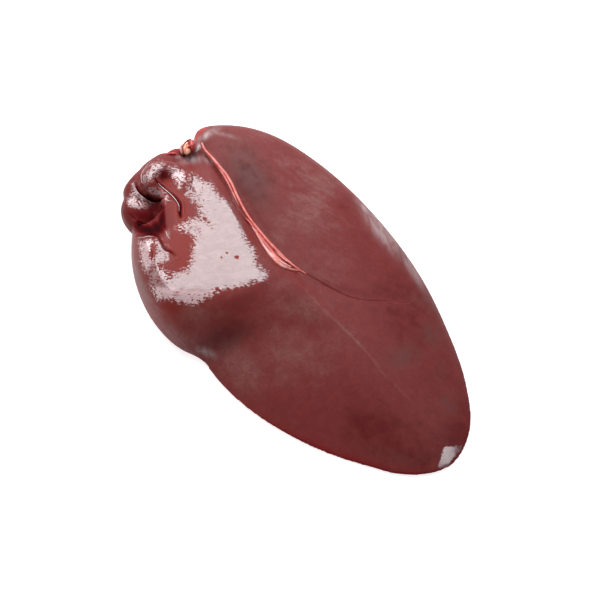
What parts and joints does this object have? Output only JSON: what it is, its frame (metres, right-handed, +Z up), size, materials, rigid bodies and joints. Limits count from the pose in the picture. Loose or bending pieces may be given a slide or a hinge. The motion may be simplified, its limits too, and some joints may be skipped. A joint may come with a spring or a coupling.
{
  "type": "raw beef liver",
  "caption": "Whole raw beef liver lying flat: a tapering slab with a domed lobe, a fissure with its ligament, a thin near edge and a folded small lobe beside the cut vessels.",
  "frame": {"origin": "on the table, under the middle of the box that just holds the liver", "axes": "+X along the liver from the vessels to the thin tip, +Y towards the thick rounded side, +Z up"},
  "size_m": [0.5144, 0.2816, 0.0688],
  "materials": {
    "liver": "wet gloss, dark red-brown with mauve mottling"
  },
  "bodies": {
    "root": {"liver": "liver"}
  },
  "joints": []
}
